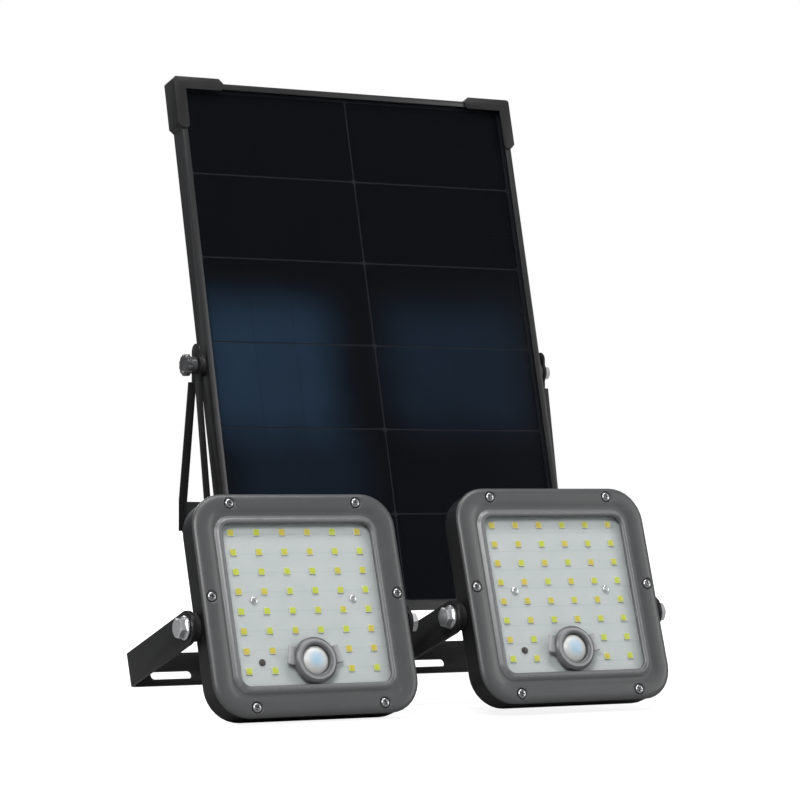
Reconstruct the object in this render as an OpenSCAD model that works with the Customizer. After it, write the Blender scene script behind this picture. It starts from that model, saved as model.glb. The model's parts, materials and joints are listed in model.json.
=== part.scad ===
// Solar flood light: two square LED heads on strap brackets, and a framed
// solar panel that tilts on a folded stand.
// The origin is the middle of the stand's bolt line, on the underside of its web.
// X runs along the panel's width, +Y to the back and +Z up.

/* [Solar panel] */
// Width of the framed panel
panel_w = 306; // [300:1:314]
// Height of the framed panel
panel_h = 432; // [420:1:440]
// Height of the pivot above the panel's lower edge
panel_below = 198; // [190:1:205]
// Lean back from upright at rest, in degrees
panel_lean = 14.4; // [8:0.2:20]
// Width of the frame's front face
rail_face = 5; // [4:0.5:9]
// Cells across the panel
cell_cols = 2; // [1:1:4]
// Cells up the panel
cell_rows = 6; // [3:1:9]
// Length of a corner cap's legs
cap_leg = 40; // [36:1:60]

/* [Panel stand] */
// Height of the panel's pivot above the base
stand_h = 135; // [125:1:145]
// Half width of a side plate at its foot
foot_half = 24; // [22:0.5:26]
// Thickness of the folded sheet
sheet = 2; // [1.5:0.1:2.5]
// Width of the lips folded out along the legs
lip = 3; // [2:0.5:6]
// Height of the tie across the foot of a side plate
tie_h = 28.4; // [20:0.2:30]
// Distance between the outer pair of mounting bolts
bolt_span = 250; // [220:5:260]
// Distance between the inner pair of mounting bolts
inner_span = 120; // [80:5:140]

/* [Flood heads] */
// Side of the square head
head_w = 160; // [156:1:164]
// Lean back of each head at rest, in degrees
head_lean = 17.5; // [0:0.5:30]
// Width of the window
window_w = 117; // [112:1:119]
// Height of the window
window_h = 116; // [110:1:118]
// LED columns
led_cols = 6; // [4:2:6]
// LED rows
led_rows = 8; // [6:2:8]
// Side of one LED
led_side = 5; // [3:0.1:5.5]

/* [Head brackets] */
// Width of the strap
strap_w = 24; // [22:0.5:26]
// Thickness of the strap
strap_t = 3; // [2:0.5:4]
// Distance from the pivot to the outer face of the web
arm_reach = 105; // [102:1:120]
// Fall of the arms below the horizontal, in degrees
arm_fall = 19.5; // [0:0.5:30]
// Length of the slots in the web
slot_len = 33; // [25:1:40]

/* [Hidden] */
$fn = 64;
// Gap that keeps two moving bodies apart, and the fit gap inside one body
run_gap = 0.3;
fit_gap = 0.05;

// Panel and stand
frame_d = 17;
wall = 1.6;
front_lip = 1.4;
glass_t = 3.2;
cell_t = 0.3;
sheet_t = 0.5;
shelf_v = 5.7;
shelf_t = 0.9;
back_lip_w = 12;
back_lip_t = 1.4;
// Depth of the pivot behind the frame's front: the middle of the rail's channel
channel_v = shelf_v + shelf_t;
channel_d = frame_d - back_lip_t - channel_v;
pivot_v = channel_v + channel_d / 2;
panel_mid = panel_h / 2 - panel_below;
cap_proud = 3.5;
cap_front = 1.3;
cap_face = 6.5;
plate_in = panel_w / 2 + 4;
plate_out = plate_in + sheet;
// Set back of the bolt line from the pivot
set_back = 8;
web_front = -4;
web_back = 20;
bend_r = 4;
bolt_hole_r = 3.3;
leg_top = stand_h - 13;
leg_neck = 7;
lip_low = 5.4;
boss_r = 9.5;
thread_r = 3;
// Junction box on the panel's back
box_w = 76;
box_h = 60;
box_d = 24;
box_z = 62;
box_wall = 2;
lid_t = 2.5;
gland_x = 18;
gland_deep = 14.5;

// Heads
face_v = 20;
frame_t = 4.5;
head_up = 11;
head_r = 25;
shell_w = head_w - 2;
shell_front = frame_t - face_v;
shell_back = 18;
shell_edge = 2;
shell_wall = 2.5;
back_inset = 14;
window_r = 7;
pane_w = window_w + 17;
pane_h = window_h + 17;
pane_t = 2;
pane_front = 2.6 - face_v;
gasket_back = 6.6 - face_v;
flange_t = 4.5;
lip_w = 5;
screw_x = 50;
screw_z = 73;
mid_screw_up = 6;
board_w = pane_w - 10;
board_h = pane_h - 10;
board_t = 1.6;
board_front = -13.8;
board_screw_x = 39;
board_screw_z = 3.6;
led_pitch_x = 20;
led_pitch_z = 14.2;
led_up = 3;
// Motion sensor: its centre, the dome's foot and height, and the collar round it
sensor_z = -41;
dome_r = 10.5;
dome_h = 4.2;
dome_foot = 2 - face_v;
collar_r = 16.5;
collar_front = -1.5 - face_v;
sleeve_r = 12.3;
lug_reach = 21;
photocell_at = [-39, -40.5];
spacer_t = 3.8;
spacer_r = 9.8;
arm_in = head_w / 2 + spacer_t;
arm_out = arm_in + strap_t;
bolt_r = 3.9;
pivot_boss_r = 7;
cell_r = 9.2;
cell_len = 65;
cell_pitch = 19.4;
cells_z = 8;
gland_z = -52;
slot_x = 53;
slot_w = 6;
slot_drop = 4.5;

// Where the pieces stand, as pivots
panel_pivot = [0, -set_back, stand_h];
left_pivot = [-197, -255, -57];
right_pivot = [3, -275, -53];

// ---- shared shapes ----

// A rectangle with round corners, centred
module rounded_rect(w, h, r) {
    square([w - 2 * r, h], center = true);
    square([w, h - 2 * r], center = true);
    for (sx = [-1, 1], sy = [-1, 1])
        translate([sx * (w / 2 - r), sy * (h / 2 - r)]) circle(r = r);
}

// A flat outline in X and Z, given depth from y0 back to y1
module deep(y0, y1) {
    translate([0, y1, 0]) rotate([90, 0, 0]) linear_extrude(y1 - y0) children();
}

// A round bar along Y, from y0 back to y1
module bar_y(r, y0, y1) {
    translate([0, y0, 0]) rotate([-90, 0, 0]) cylinder(r = r, h = y1 - y0);
}

// A round bar along X, from x0 out to x1
module bar_x(r, x0, x1) {
    translate([x0, 0, 0]) rotate([0, 90, 0]) cylinder(r = r, h = x1 - x0);
}

// One child on each side, mirrored in X
module both_sides() {
    for (side = [0, 1]) mirror([side, 0, 0]) children();
}

// A pan head screw with a cross slot; its head stands out towards -Y from y = 0
module pan_screw(r, head_r, head_t, length) {
    difference() {
        union() {
            bar_y(head_r, -head_t, 0);
            bar_y(r, -fit_gap, length);
        }
        for (turn = [0, 90])
            rotate([0, turn, 0])
                translate([-head_r * 0.55, -head_t - 1, -head_r * 0.1])
                    cube([head_r * 1.1, 1 + head_t * 0.5, head_r * 0.2]);
    }
}

// A cable gland along +Y: stub through the wall, hexagon, dome nut and inner nut
module gland(wall_t) {
    difference() {
        union() {
            bar_y(5.9, -wall_t - 4, 0);
            translate([0, fit_gap, 0]) rotate([-90, 0, 0]) cylinder(r = 9, h = 5, $fn = 6);
            bar_y(7.6, 5, 13);
            bar_y(6.2, 13, 15);
            translate([0, -wall_t - 3, 0])
                rotate([-90, 0, 0]) cylinder(r = 7.6, h = 3 - fit_gap, $fn = 6);
        }
        bar_y(2.8, -wall_t - 10, 20);
    }
}

// ---- panel stand ----

// The outline of a side plate, in Y and Z, about the pivot
module plate_outline() {
    corner = 5;
    polygon([
        [-foot_half, corner], [foot_half, corner], [foot_half, tie_h],
        [leg_neck, leg_top], [leg_neck, stand_h + 10], [-leg_neck, stand_h + 10],
        [-leg_neck, leg_top], [-foot_half, tie_h]
    ]);
    translate([-foot_half + corner, 0]) square([2 * foot_half - 2 * corner, corner]);
    for (side = [-1, 1]) translate([side * (foot_half - corner), corner]) circle(r = corner);
    translate([0, stand_h]) circle(r = boss_r);
    translate([0, stand_h + 10]) circle(r = leg_neck);
}

// The tall window between the two legs of a side plate
module plate_window() {
    base = foot_half - 5.3;
    top = 2.6;
    polygon([[-base, tie_h], [base, tie_h], [top, leg_top - 2], [-top, leg_top - 2]]);
}

// The folded lips along the outer edges of the legs
module plate_lips() {
    for (side = [0, 1])
        mirror([side, 0])
            polygon([
                [foot_half, lip_low], [foot_half, tie_h], [leg_neck, leg_top],
                [leg_neck - sheet, leg_top], [foot_half - sheet, tie_h],
                [foot_half - sheet, lip_low]
            ]);
}

// Turns an outline in Y and Z into a sheet from x0 to x1
module across(x0, x1) {
    translate([x0, 0, 0]) rotate([90, 0, 90]) linear_extrude(x1 - x0) children();
}

// One bent corner of the web, seen along Y, with its round outside
module web_bend() {
    translate([plate_out - bend_r, bend_r])
        intersection() {
            difference() {
                circle(r = bend_r);
                circle(r = bend_r - sheet);
            }
            translate([0, -bend_r]) square(bend_r);
        }
    translate([plate_in, bend_r]) square([sheet, tie_h - bend_r]);
}

module panel_stand() {
    color([0.13, 0.13, 0.14])
        translate([0, -set_back, 0])
            difference() {
                union() {
                    both_sides() {
                        intersection() {
                            across(plate_in, plate_out) plate_outline();
                            translate([0, -100, bend_r]) cube([panel_w, 200, stand_h + 50]);
                        }
                        across(plate_in + sheet / 2, plate_out + lip) plate_lips();
                        deep(web_front, web_back) web_bend();
                    }
                    translate([-plate_out + bend_r, web_front, 0])
                        cube([2 * (plate_out - bend_r), web_back - web_front, sheet]);
                }
                across(-plate_out - 1, plate_out + 1) plate_window();
                translate([0, 0, stand_h])
                    bar_x(thread_r + 0.5, -plate_out - 1, plate_out + 1);
                for (x = [-bolt_span / 2, -inner_span / 2, inner_span / 2, bolt_span / 2])
                    translate([x, set_back, -1]) cylinder(r = bolt_hole_r, h = sheet + 2);
            }
}

// ---- panel, about its pivot ----

// Stands the panel's pieces in place, leaning back
module on_panel() {
    translate(panel_pivot) rotate([-panel_lean, 0, 0]) children();
}

// Section of a frame rail: u runs in from the outer edge, v from the front back
module rail_section() {
    square([wall, frame_d]);
    square([rail_face, front_lip]);
    translate([0, shelf_v]) square([rail_face, shelf_t]);
    translate([0, frame_d - back_lip_t]) square([back_lip_w, back_lip_t]);
}

// A mitred rail along X with its outer edge on z = 0
module rail(length) {
    half = length / 2 - fit_gap;
    intersection() {
        translate([-length / 2, -pivot_v, 0])
            rotate([0, 90, 0]) linear_extrude(length) rail_section();
        deep(-pivot_v - 1, frame_d)
            polygon([[-half, 0], [half, 0], [half - 15, -15], [-half + 15, -15]]);
    }
}

// Moves one rail to its side of the frame: turn 0 is the top, 90 the right
module rail_at(turn, reach) {
    translate([0, 0, panel_mid]) rotate([0, turn, 0]) translate([0, 0, reach]) children();
}

module side_rail(turn) {
    difference() {
        rail_at(turn, panel_w / 2) rail(panel_h);
        bar_x(thread_r + 0.2, -panel_w, panel_w);
    }
}

module frame_top_rail() {
    color([0.2, 0.2, 0.21]) on_panel() rail_at(0, panel_h / 2) rail(panel_w);
}

module frame_bottom_rail() {
    color([0.2, 0.2, 0.21]) on_panel() rail_at(180, panel_h / 2) rail(panel_w);
}

module frame_left_rail() {
    color([0.2, 0.2, 0.21]) on_panel() side_rail(-90);
}

module frame_right_rail() {
    color([0.2, 0.2, 0.21]) on_panel() side_rail(90);
}

// Puts a child made for the top right corner at all four corners
module four_corners() {
    for (mx = [0, 1], mz = [0, 1])
        translate([0, 0, panel_mid])
            mirror([mx, 0, 0]) mirror([0, 0, mz])
                translate([panel_w / 2, 0, panel_h / 2]) children();
}

// The outline of a corner cap, its corner at the origin and its legs along -X and -Z
module cap_outline() {
    round_r = 2.5;
    bevel = 2;
    polygon([
        [-cap_leg, -cap_face + bevel], [-cap_leg + bevel, -cap_face], [-cap_face, -cap_face],
        [-cap_face, -cap_leg + bevel], [-cap_face + bevel, -cap_leg], [0, -cap_leg],
        [cap_proud, -cap_leg + cap_proud], [cap_proud, cap_proud - round_r],
        [cap_proud - round_r, cap_proud - round_r], [cap_proud - round_r, cap_proud],
        [-cap_leg + cap_proud, cap_proud], [-cap_leg, 0]
    ]);
    translate([cap_proud - round_r, cap_proud - round_r]) circle(r = round_r);
}

module corner_caps() {
    color([0.16, 0.16, 0.17])
        on_panel()
            four_corners()
                difference() {
                    deep(-pivot_v - cap_front, frame_d - pivot_v) cap_outline();
                    translate([-2 * cap_leg, -pivot_v - fit_gap, -2 * cap_leg])
                        cube([2 * cap_leg + fit_gap, 2 * frame_d, 2 * cap_leg + fit_gap]);
                }
}

// Corner keys: angles pressed into the rails' channels
module corner_keys() {
    reach = 28;
    key_w = 7;
    color([0.7, 0.7, 0.72])
        on_panel()
            four_corners()
                deep(-channel_d / 2 + fit_gap, channel_d / 2 - fit_gap)
                    translate([-wall - fit_gap, -wall - fit_gap])
                        difference() {
                            translate([-reach, -reach]) square(reach);
                            translate([-reach - 1, -reach - 1]) square(reach + 1 - key_w);
                        }
}

// A flat sheet inside the frame, front face at depth v
module inner_sheet(v, t) {
    edge = wall + 0.2;
    translate([0, v - pivot_v + t / 2, panel_mid])
        cube([panel_w - 2 * edge, t, panel_h - 2 * edge], center = true);
}

module panel_glass() {
    color([0.03, 0.04, 0.06]) on_panel() inner_sheet(front_lip + fit_gap, glass_t);
}

module back_sheet() {
    behind = front_lip + glass_t + cell_t + 3 * fit_gap;
    color([0.75, 0.75, 0.76]) on_panel() inner_sheet(behind, sheet_t);
}

module solar_cells() {
    gap = 2.5;
    pitch_x = (panel_w - 2 * rail_face - gap) / cell_cols;
    pitch_z = (panel_h - 2 * rail_face - gap) / cell_rows;
    v = front_lip + glass_t + 2 * fit_gap;
    color([0.02, 0.03, 0.07])
        on_panel()
            for (i = [0 : cell_cols - 1], j = [0 : cell_rows - 1])
                translate([
                    (i - (cell_cols - 1) / 2) * pitch_x,
                    v - pivot_v + cell_t / 2,
                    panel_mid + (j - (cell_rows - 1) / 2) * pitch_z
                ])
                    cube([pitch_x - gap, cell_t, pitch_z - gap], center = true);
}

// ---- junction box on the panel's back ----

// Depth of the back sheet's rear face, where the box sits
box_front = front_lip + glass_t + cell_t + sheet_t + 4 * fit_gap - pivot_v;
box_back = box_front + box_d;
lid_screw_x = box_w / 2 - 6;
lid_screw_z = box_h / 2 - 6;

module at_lid_screws() {
    for (sx = [-1, 1], sz = [-1, 1])
        translate([sx * lid_screw_x, 0, box_z + sz * lid_screw_z]) children();
}

module junction_box() {
    color([0.08, 0.08, 0.09])
        on_panel()
            difference() {
                union() {
                    difference() {
                        translate([0, 0, box_z])
                            deep(box_front, box_back) rounded_rect(box_w, box_h, 5);
                        translate([0, 0, box_z])
                            deep(box_front + box_wall, box_back + 1)
                                rounded_rect(box_w - 2 * box_wall, box_h - 2 * box_wall, 3);
                    }
                    at_lid_screws() bar_y(3.5, box_front + box_wall / 2, box_back);
                }
                at_lid_screws() bar_y(1.35, box_back - 11, box_back + 1);
                for (side = [-1, 1])
                    translate([side * gland_x, box_front + gland_deep, box_z - box_h / 2 - 1])
                        cylinder(r = 6, h = box_wall + 2);
            }
}

module junction_box_lid() {
    color([0.1, 0.1, 0.11])
        on_panel()
            difference() {
                translate([0, 0, box_z])
                    deep(box_back + fit_gap, box_back + lid_t) rounded_rect(box_w, box_h, 5);
                at_lid_screws() bar_y(1.7, box_back - 1, box_back + lid_t + 1);
            }
}

module junction_box_screws() {
    color([0.75, 0.76, 0.78])
        on_panel()
            at_lid_screws()
                translate([0, box_back + lid_t + fit_gap, 0])
                    rotate([0, 0, 180]) pan_screw(1.3, 2.7, 1.8, 11);
}

module panel_cable_glands() {
    color([0.07, 0.07, 0.08])
        on_panel()
            for (side = [-1, 1])
                translate([side * gland_x, box_front + gland_deep, box_z - box_h / 2])
                    rotate([-90, 0, 0]) gland(box_wall);
}

// ---- pivot of the panel ----

nut_in = 141;

module pivot_nuts() {
    color([0.72, 0.6, 0.3])
        on_panel()
            both_sides()
                difference() {
                    translate([nut_in, -channel_d / 2 + fit_gap, -8])
                        cube([panel_w / 2 - wall - fit_gap - nut_in, channel_d - 2 * fit_gap, 16]);
                    bar_x(thread_r + fit_gap, nut_in - 1, panel_w / 2);
                }
}

module panel_spacers() {
    color([0.1, 0.1, 0.1])
        on_panel()
            both_sides()
                difference() {
                    bar_x(8.5, panel_w / 2 + fit_gap, plate_in - run_gap);
                    bar_x(thread_r + 0.3, panel_w / 2 - 1, plate_in + 1);
                }
}

// Thumb screw: a fluted disc on a round hub
module thumb_screw() {
    hub = 5.4;
    disc = 4.8;
    disc_r = 8.7;
    seat = plate_out + run_gap;
    color([0.1, 0.1, 0.11])
        on_panel()
            mirror([1, 0, 0])
                difference() {
                    union() {
                        bar_x(thread_r, nut_in, seat + 1);
                        bar_x(6.6, seat, seat + hub);
                        bar_x(disc_r, seat + hub - 0.1, seat + hub + disc);
                    }
                    for (turn = [0 : 30 : 330])
                        rotate([turn, 0, 0])
                            translate([0, disc_r + 0.7, 0])
                                bar_x(1.5, seat + hub - 1, seat + hub + disc + 1);
                }
}

// Flange bolt with a hexagon
module panel_pivot_bolt() {
    seat = plate_out + run_gap;
    color([0.72, 0.73, 0.75])
        on_panel() {
            bar_x(thread_r, nut_in, seat + 1);
            bar_x(7.1, seat, seat + 1.5);
            translate([seat + 1, 0, 0]) rotate([0, 90, 0]) cylinder(r = 5.77, h = 5, $fn = 6);
        }
}

// ---- flood head, about its pivot ----

// Stands a head's pieces in place, leaning back
module left_head() {
    translate(left_pivot) rotate([-head_lean, 0, 0]) children();
}

module right_head() {
    translate(right_pivot) rotate([-head_lean, 0, 0]) children();
}

// Moves a child from the middle of the face to the pivot's frame
module on_face() {
    translate([0, 0, head_up]) children();
}

// Seats of the six screws that hold the front frame
module at_frame_screws() {
    for (sx = [-1, 1]) {
        translate([sx * screw_z, 0, mid_screw_up]) children();
        for (sz = [-1, 1]) translate([sx * screw_x, 0, sz * screw_z]) children();
    }
}

module at_board_screws() {
    for (sx = [-1, 1]) translate([sx * board_screw_x, 0, board_screw_z]) children();
}

// The tapered back of the shell: a square pyramid's foot with flat sides
module taper(half, inset, y0, y1) {
    profile = [[-half, y0], [half, y0], [half - inset, y1], [-half + inset, y1]];
    intersection() {
        translate([0, 0, -half]) linear_extrude(2 * half) polygon(profile);
        rotate([0, 90, 0])
            translate([0, 0, -half]) linear_extrude(2 * half) polygon(profile);
    }
}

// The outside of the shell, or its inside when it is smaller by one wall
module shell_form(thin) {
    half = shell_w / 2 - thin;
    front = thin > 0 ? shell_front + flange_t : shell_front;
    back = shell_back - thin;
    intersection() {
        deep(front, back) rounded_rect(2 * half, 2 * half, head_r - 1 - thin);
        union() {
            translate([-half, front, -half]) cube([2 * half, shell_edge - front, 2 * half]);
            taper(half, back_inset, shell_edge - fit_gap, back);
        }
    }
}

module housing() {
    gland_hole_r = 6;
    color([0.11, 0.11, 0.12])
        difference() {
            union() {
                on_face()
                    difference() {
                        shell_form(0);
                        shell_form(shell_wall);
                        deep(shell_front - 1, shell_front + flange_t + 1)
                            rounded_rect(board_w + 3, board_h + 3, 9);
                        deep(shell_front - 1, gasket_back)
                            rounded_rect(pane_w + 0.6, pane_h + 0.6, window_r + 5);
                    }
                on_face() at_frame_screws() bar_y(4, shell_front + 2, 5);
                on_face() at_board_screws()
                    bar_y(4, board_front + board_t + fit_gap, shell_back - 1);
                on_face() for (sx = [-1, 1])
                    translate([sx * 24, 0, -30]) bar_y(3, 6.65, shell_back - 1);
                both_sides() bar_x(pivot_boss_r, board_w / 2 + 1.5, shell_w / 2 - 0.5);
            }
            on_face() at_frame_screws() bar_y(1.65, shell_front - 1, 3);
            on_face() at_board_screws() bar_y(1.35, board_front, 6);
            on_face() translate([0, 0, gland_z]) bar_y(gland_hole_r, 10, shell_back + 1);
            both_sides() bar_x(bolt_r + fit_gap, board_w / 2, shell_w / 2 + 1);
        }
}

// Front frame: a flat outer band, a raised lip round the window and six screw seats
module front_frame() {
    color([0.36, 0.36, 0.37])
        on_face()
            difference() {
                union() {
                    deep(1.2 - face_v, shell_front - fit_gap) rounded_rect(head_w, head_w, head_r);
                    deep(-face_v, 2 - face_v)
                        rounded_rect(window_w + 2 * lip_w, window_h + 2 * lip_w, window_r + lip_w);
                }
                deep(-face_v - 1, 0) rounded_rect(window_w, window_h, window_r);
                deep(pane_front - fit_gap, 0)
                    rounded_rect(pane_w + 0.4, pane_h + 0.4, window_r + 5);
                at_frame_screws() {
                    bar_y(1.8, -face_v - 1, 0);
                    bar_y(4.2, -face_v - 1, 2.6 - face_v);
                }
            }
}

module window() {
    color([0.85, 0.9, 0.92, 0.35])
        on_face()
            difference() {
                deep(pane_front, pane_front + pane_t) rounded_rect(pane_w, pane_h, window_r + 5);
                translate([0, 0, sensor_z])
                    bar_y(sleeve_r + 0.2, pane_front - 1, pane_front + pane_t + 1);
            }
}

module gasket() {
    color([0.06, 0.06, 0.06])
        on_face()
            difference() {
                deep(pane_front + pane_t + fit_gap, gasket_back - fit_gap)
                    rounded_rect(pane_w, pane_h, window_r + 5);
                deep(pane_front, gasket_back + 1)
                    rounded_rect(board_w + 3, board_h + 3, 9);
            }
}

module led_board() {
    color([0.8, 0.81, 0.8])
        on_face()
            difference() {
                deep(board_front, board_front + board_t) rounded_rect(board_w, board_h, 8);
                at_board_screws() bar_y(1.6, board_front - 1, board_front + board_t + 1);
            }
}

// The LEDs, in rows and columns, but not where the motion sensor stands
module leds() {
    color([0.82, 0.84, 0.42])
        on_face()
            for (i = [0 : led_cols - 1], j = [0 : led_rows - 1]) {
                x = (i - (led_cols - 1) / 2) * led_pitch_x;
                z = led_up + (j - (led_rows - 1) / 2) * led_pitch_z;
                if (norm([x, z - sensor_z]) > collar_r + led_side / 2)
                    translate([x, board_front - fit_gap - 0.5, z])
                        cube([led_side, 1, led_side], center = true);
            }
}

module board_screws() {
    color([0.75, 0.76, 0.78])
        on_face() at_board_screws()
            translate([0, board_front - fit_gap, 0]) pan_screw(1.3, 3, 1.4, 12);
}

module frame_screws() {
    color([0.42, 0.42, 0.43])
        on_face() at_frame_screws()
            translate([0, 2.6 - fit_gap - face_v, 0]) pan_screw(1.6, 3.6, 2.2, 18);
}

// Motion sensor's milky dome: a shallow cap on a short skirt
module sensor_lens() {
    skin = 1;
    ball_r = (dome_r * dome_r + dome_h * dome_h) / (2 * dome_h);
    color([0.82, 0.87, 0.95])
        on_face()
            translate([0, dome_foot, sensor_z])
                rotate([90, 0, 0])
                    rotate_extrude() {
                        intersection() {
                            translate([0, dome_h - ball_r])
                                difference() {
                                    circle(r = ball_r, $fn = 160);
                                    circle(r = ball_r - skin, $fn = 160);
                                }
                            square([dome_r, dome_h]);
                        }
                        translate([dome_r - 1.4 * skin, -2]) square([1.4 * skin, 2 + fit_gap]);
                    }
}

// Grey collar round the dome: a ring on the window, a sleeve through it to the
// board and a flat lug at each side
module sensor_collar() {
    lug_turn = 12;
    lug_w = 13;
    lug_t = 2;
    seat = pane_front - fit_gap;
    color([0.55, 0.57, 0.58])
        on_face()
            translate([0, 0, sensor_z])
                difference() {
                    union() {
                        bar_y(collar_r, collar_front, seat);
                        bar_y(sleeve_r, collar_front, board_front - fit_gap);
                        for (turn = [-lug_turn, lug_turn + 180])
                            rotate([0, turn, 0])
                                translate([dome_r + 1, seat - lug_t, -lug_w / 2])
                                    cube([lug_reach - dome_r - 1, lug_t, lug_w]);
                    }
                    bar_y(dome_r + fit_gap, collar_front - 1, 0);
                }
}

module motion_sensor() {
    color([0.7, 0.7, 0.68])
        on_face()
            translate([0, 0, sensor_z]) {
                bar_y(4.6, board_front - 5, board_front - fit_gap);
                bar_y(5.1, board_front - 1, board_front - fit_gap);
            }
}

module photocell() {
    color([0.25, 0.24, 0.24])
        on_face()
            translate([photocell_at[0], 0, photocell_at[1]])
                bar_y(2.5, board_front - 1.4, board_front - fit_gap);
}

// ---- inside the head ----

cell_y = 4.2;
cradle_y = cell_y + cell_r + fit_gap;
cells = 3;

module battery_cells() {
    color([0.2, 0.42, 0.62])
        on_face()
            for (i = [0 : cells - 1])
                translate([0, cell_y, cells_z + i * cell_pitch])
                    bar_x(cell_r, -cell_len / 2, cell_len / 2);
}

module battery_cradle() {
    long = cell_len + 2 * 2.5;
    tall = cells * cell_pitch;
    low = cells_z - cell_pitch / 2;
    floor_t = shell_back - shell_wall - fit_gap - cradle_y;
    color([0.09, 0.09, 0.1])
        on_face() {
            translate([-long / 2, cradle_y, low]) cube([long, floor_t, tall]);
            both_sides()
                translate([cell_len / 2 + fit_gap, cell_y, low])
                    cube([2.5 - fit_gap, cradle_y + 0.5 - cell_y, tall]);
        }
}

module control_board() {
    color([0.1, 0.35, 0.2])
        on_face()
            translate([0, 0, -30]) {
                translate([-30, 5, -17]) cube([60, 1.6, 34]);
                translate([-22, 1, -8]) cube([10, 4.05, 12]);
                translate([-4, -2, -10]) cube([12, 7.05, 12]);
                translate([18, 2.5, -6]) cube([8, 2.55, 9]);
            }
}

module cable_gland() {
    color([0.07, 0.07, 0.08])
        on_face() translate([0, shell_back, gland_z]) gland(shell_wall);
}

// ---- pivot of the head ----

washer_t = 1.6;
bolt_seat = arm_out + run_gap + washer_t + fit_gap;

module pivot_spacers() {
    color([0.08, 0.08, 0.09])
        both_sides()
            difference() {
                bar_x(spacer_r, shell_w / 2 + fit_gap, arm_in - run_gap);
                bar_x(bolt_r + 0.3, shell_w / 2 - 1, arm_in + 1);
            }
}

module pivot_washers() {
    color([0.76, 0.77, 0.79])
        both_sides()
            difference() {
                bar_x(8.4, arm_out + run_gap, arm_out + run_gap + washer_t);
                bar_x(bolt_r + 0.3, arm_out, bolt_seat + 1);
            }
}

module pivot_bolts() {
    color([0.8, 0.81, 0.83])
        both_sides() {
            bar_x(bolt_r, board_w / 2 + 2, bolt_seat + 1);
            translate([bolt_seat, 0, 0]) rotate([0, 90, 0]) cylinder(r = 7.5, h = 5.3, $fn = 6);
        }
}

// U bracket: strap bent round two corners, round ends and a slotted web
module bracket() {
    outer_r = 6;
    half = strap_w / 2;
    slot_half = slot_len / 2 - slot_w / 2;
    color([0.13, 0.13, 0.14])
        rotate([-arm_fall, 0, 0])
            difference() {
                union() {
                    translate([0, 0, -half])
                        linear_extrude(strap_w) {
                            for (side = [0, 1]) mirror([side, 0]) {
                                translate([arm_in, 0]) square([strap_t, arm_reach - outer_r]);
                                translate([arm_out - outer_r, arm_reach - outer_r])
                                    intersection() {
                                        difference() {
                                            circle(r = outer_r);
                                            circle(r = outer_r - strap_t);
                                        }
                                        square(outer_r);
                                    }
                            }
                            translate([-arm_out + outer_r, arm_reach - strap_t])
                                square([2 * (arm_out - outer_r), strap_t]);
                        }
                    both_sides() bar_x(half, arm_in, arm_out);
                }
                bar_x(bolt_r + 0.5, -arm_out - 1, arm_out + 1);
                bar_y(4.2, arm_reach - strap_t - 1, arm_reach + 1);
                both_sides()
                    translate([slot_x, 0, -slot_drop]) {
                        for (end = [-1, 1])
                            translate([end * slot_half, 0, 0])
                                bar_y(slot_w / 2, arm_reach - strap_t - 1, arm_reach + 1);
                        translate([-slot_half, arm_reach - strap_t - 1, -slot_w / 2])
                            cube([2 * slot_half, strap_t + 2, slot_w]);
                    }
            }
}

// ---- the two heads' own nodes ----

module left_bracket() { translate(left_pivot) bracket(); }
module left_housing() { left_head() housing(); }
module left_front_frame() { left_head() front_frame(); }
module left_window() { left_head() window(); }
module left_gasket() { left_head() gasket(); }
module left_led_board() { left_head() led_board(); }
module left_leds() { left_head() leds(); }
module left_board_screws() { left_head() board_screws(); }
module left_frame_screws() { left_head() frame_screws(); }
module left_sensor_lens() { left_head() sensor_lens(); }
module left_sensor_collar() { left_head() sensor_collar(); }
module left_motion_sensor() { left_head() motion_sensor(); }
module left_photocell() { left_head() photocell(); }
module left_battery_cells() { left_head() battery_cells(); }
module left_battery_cradle() { left_head() battery_cradle(); }
module left_control_board() { left_head() control_board(); }
module left_cable_gland() { left_head() cable_gland(); }
module left_pivot_spacers() { left_head() pivot_spacers(); }
module left_pivot_bolts() { left_head() pivot_bolts(); }
module left_pivot_washers() { left_head() pivot_washers(); }

module right_bracket() { translate(right_pivot) bracket(); }
module right_housing() { right_head() housing(); }
module right_front_frame() { right_head() front_frame(); }
module right_window() { right_head() window(); }
module right_gasket() { right_head() gasket(); }
module right_led_board() { right_head() led_board(); }
module right_leds() { right_head() leds(); }
module right_board_screws() { right_head() board_screws(); }
module right_frame_screws() { right_head() frame_screws(); }
module right_sensor_lens() { right_head() sensor_lens(); }
module right_sensor_collar() { right_head() sensor_collar(); }
module right_motion_sensor() { right_head() motion_sensor(); }
module right_photocell() { right_head() photocell(); }
module right_battery_cells() { right_head() battery_cells(); }
module right_battery_cradle() { right_head() battery_cradle(); }
module right_control_board() { right_head() control_board(); }
module right_cable_gland() { right_head() cable_gland(); }
module right_pivot_spacers() { right_head() pivot_spacers(); }
module right_pivot_bolts() { right_head() pivot_bolts(); }
module right_pivot_washers() { right_head() pivot_washers(); }

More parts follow.
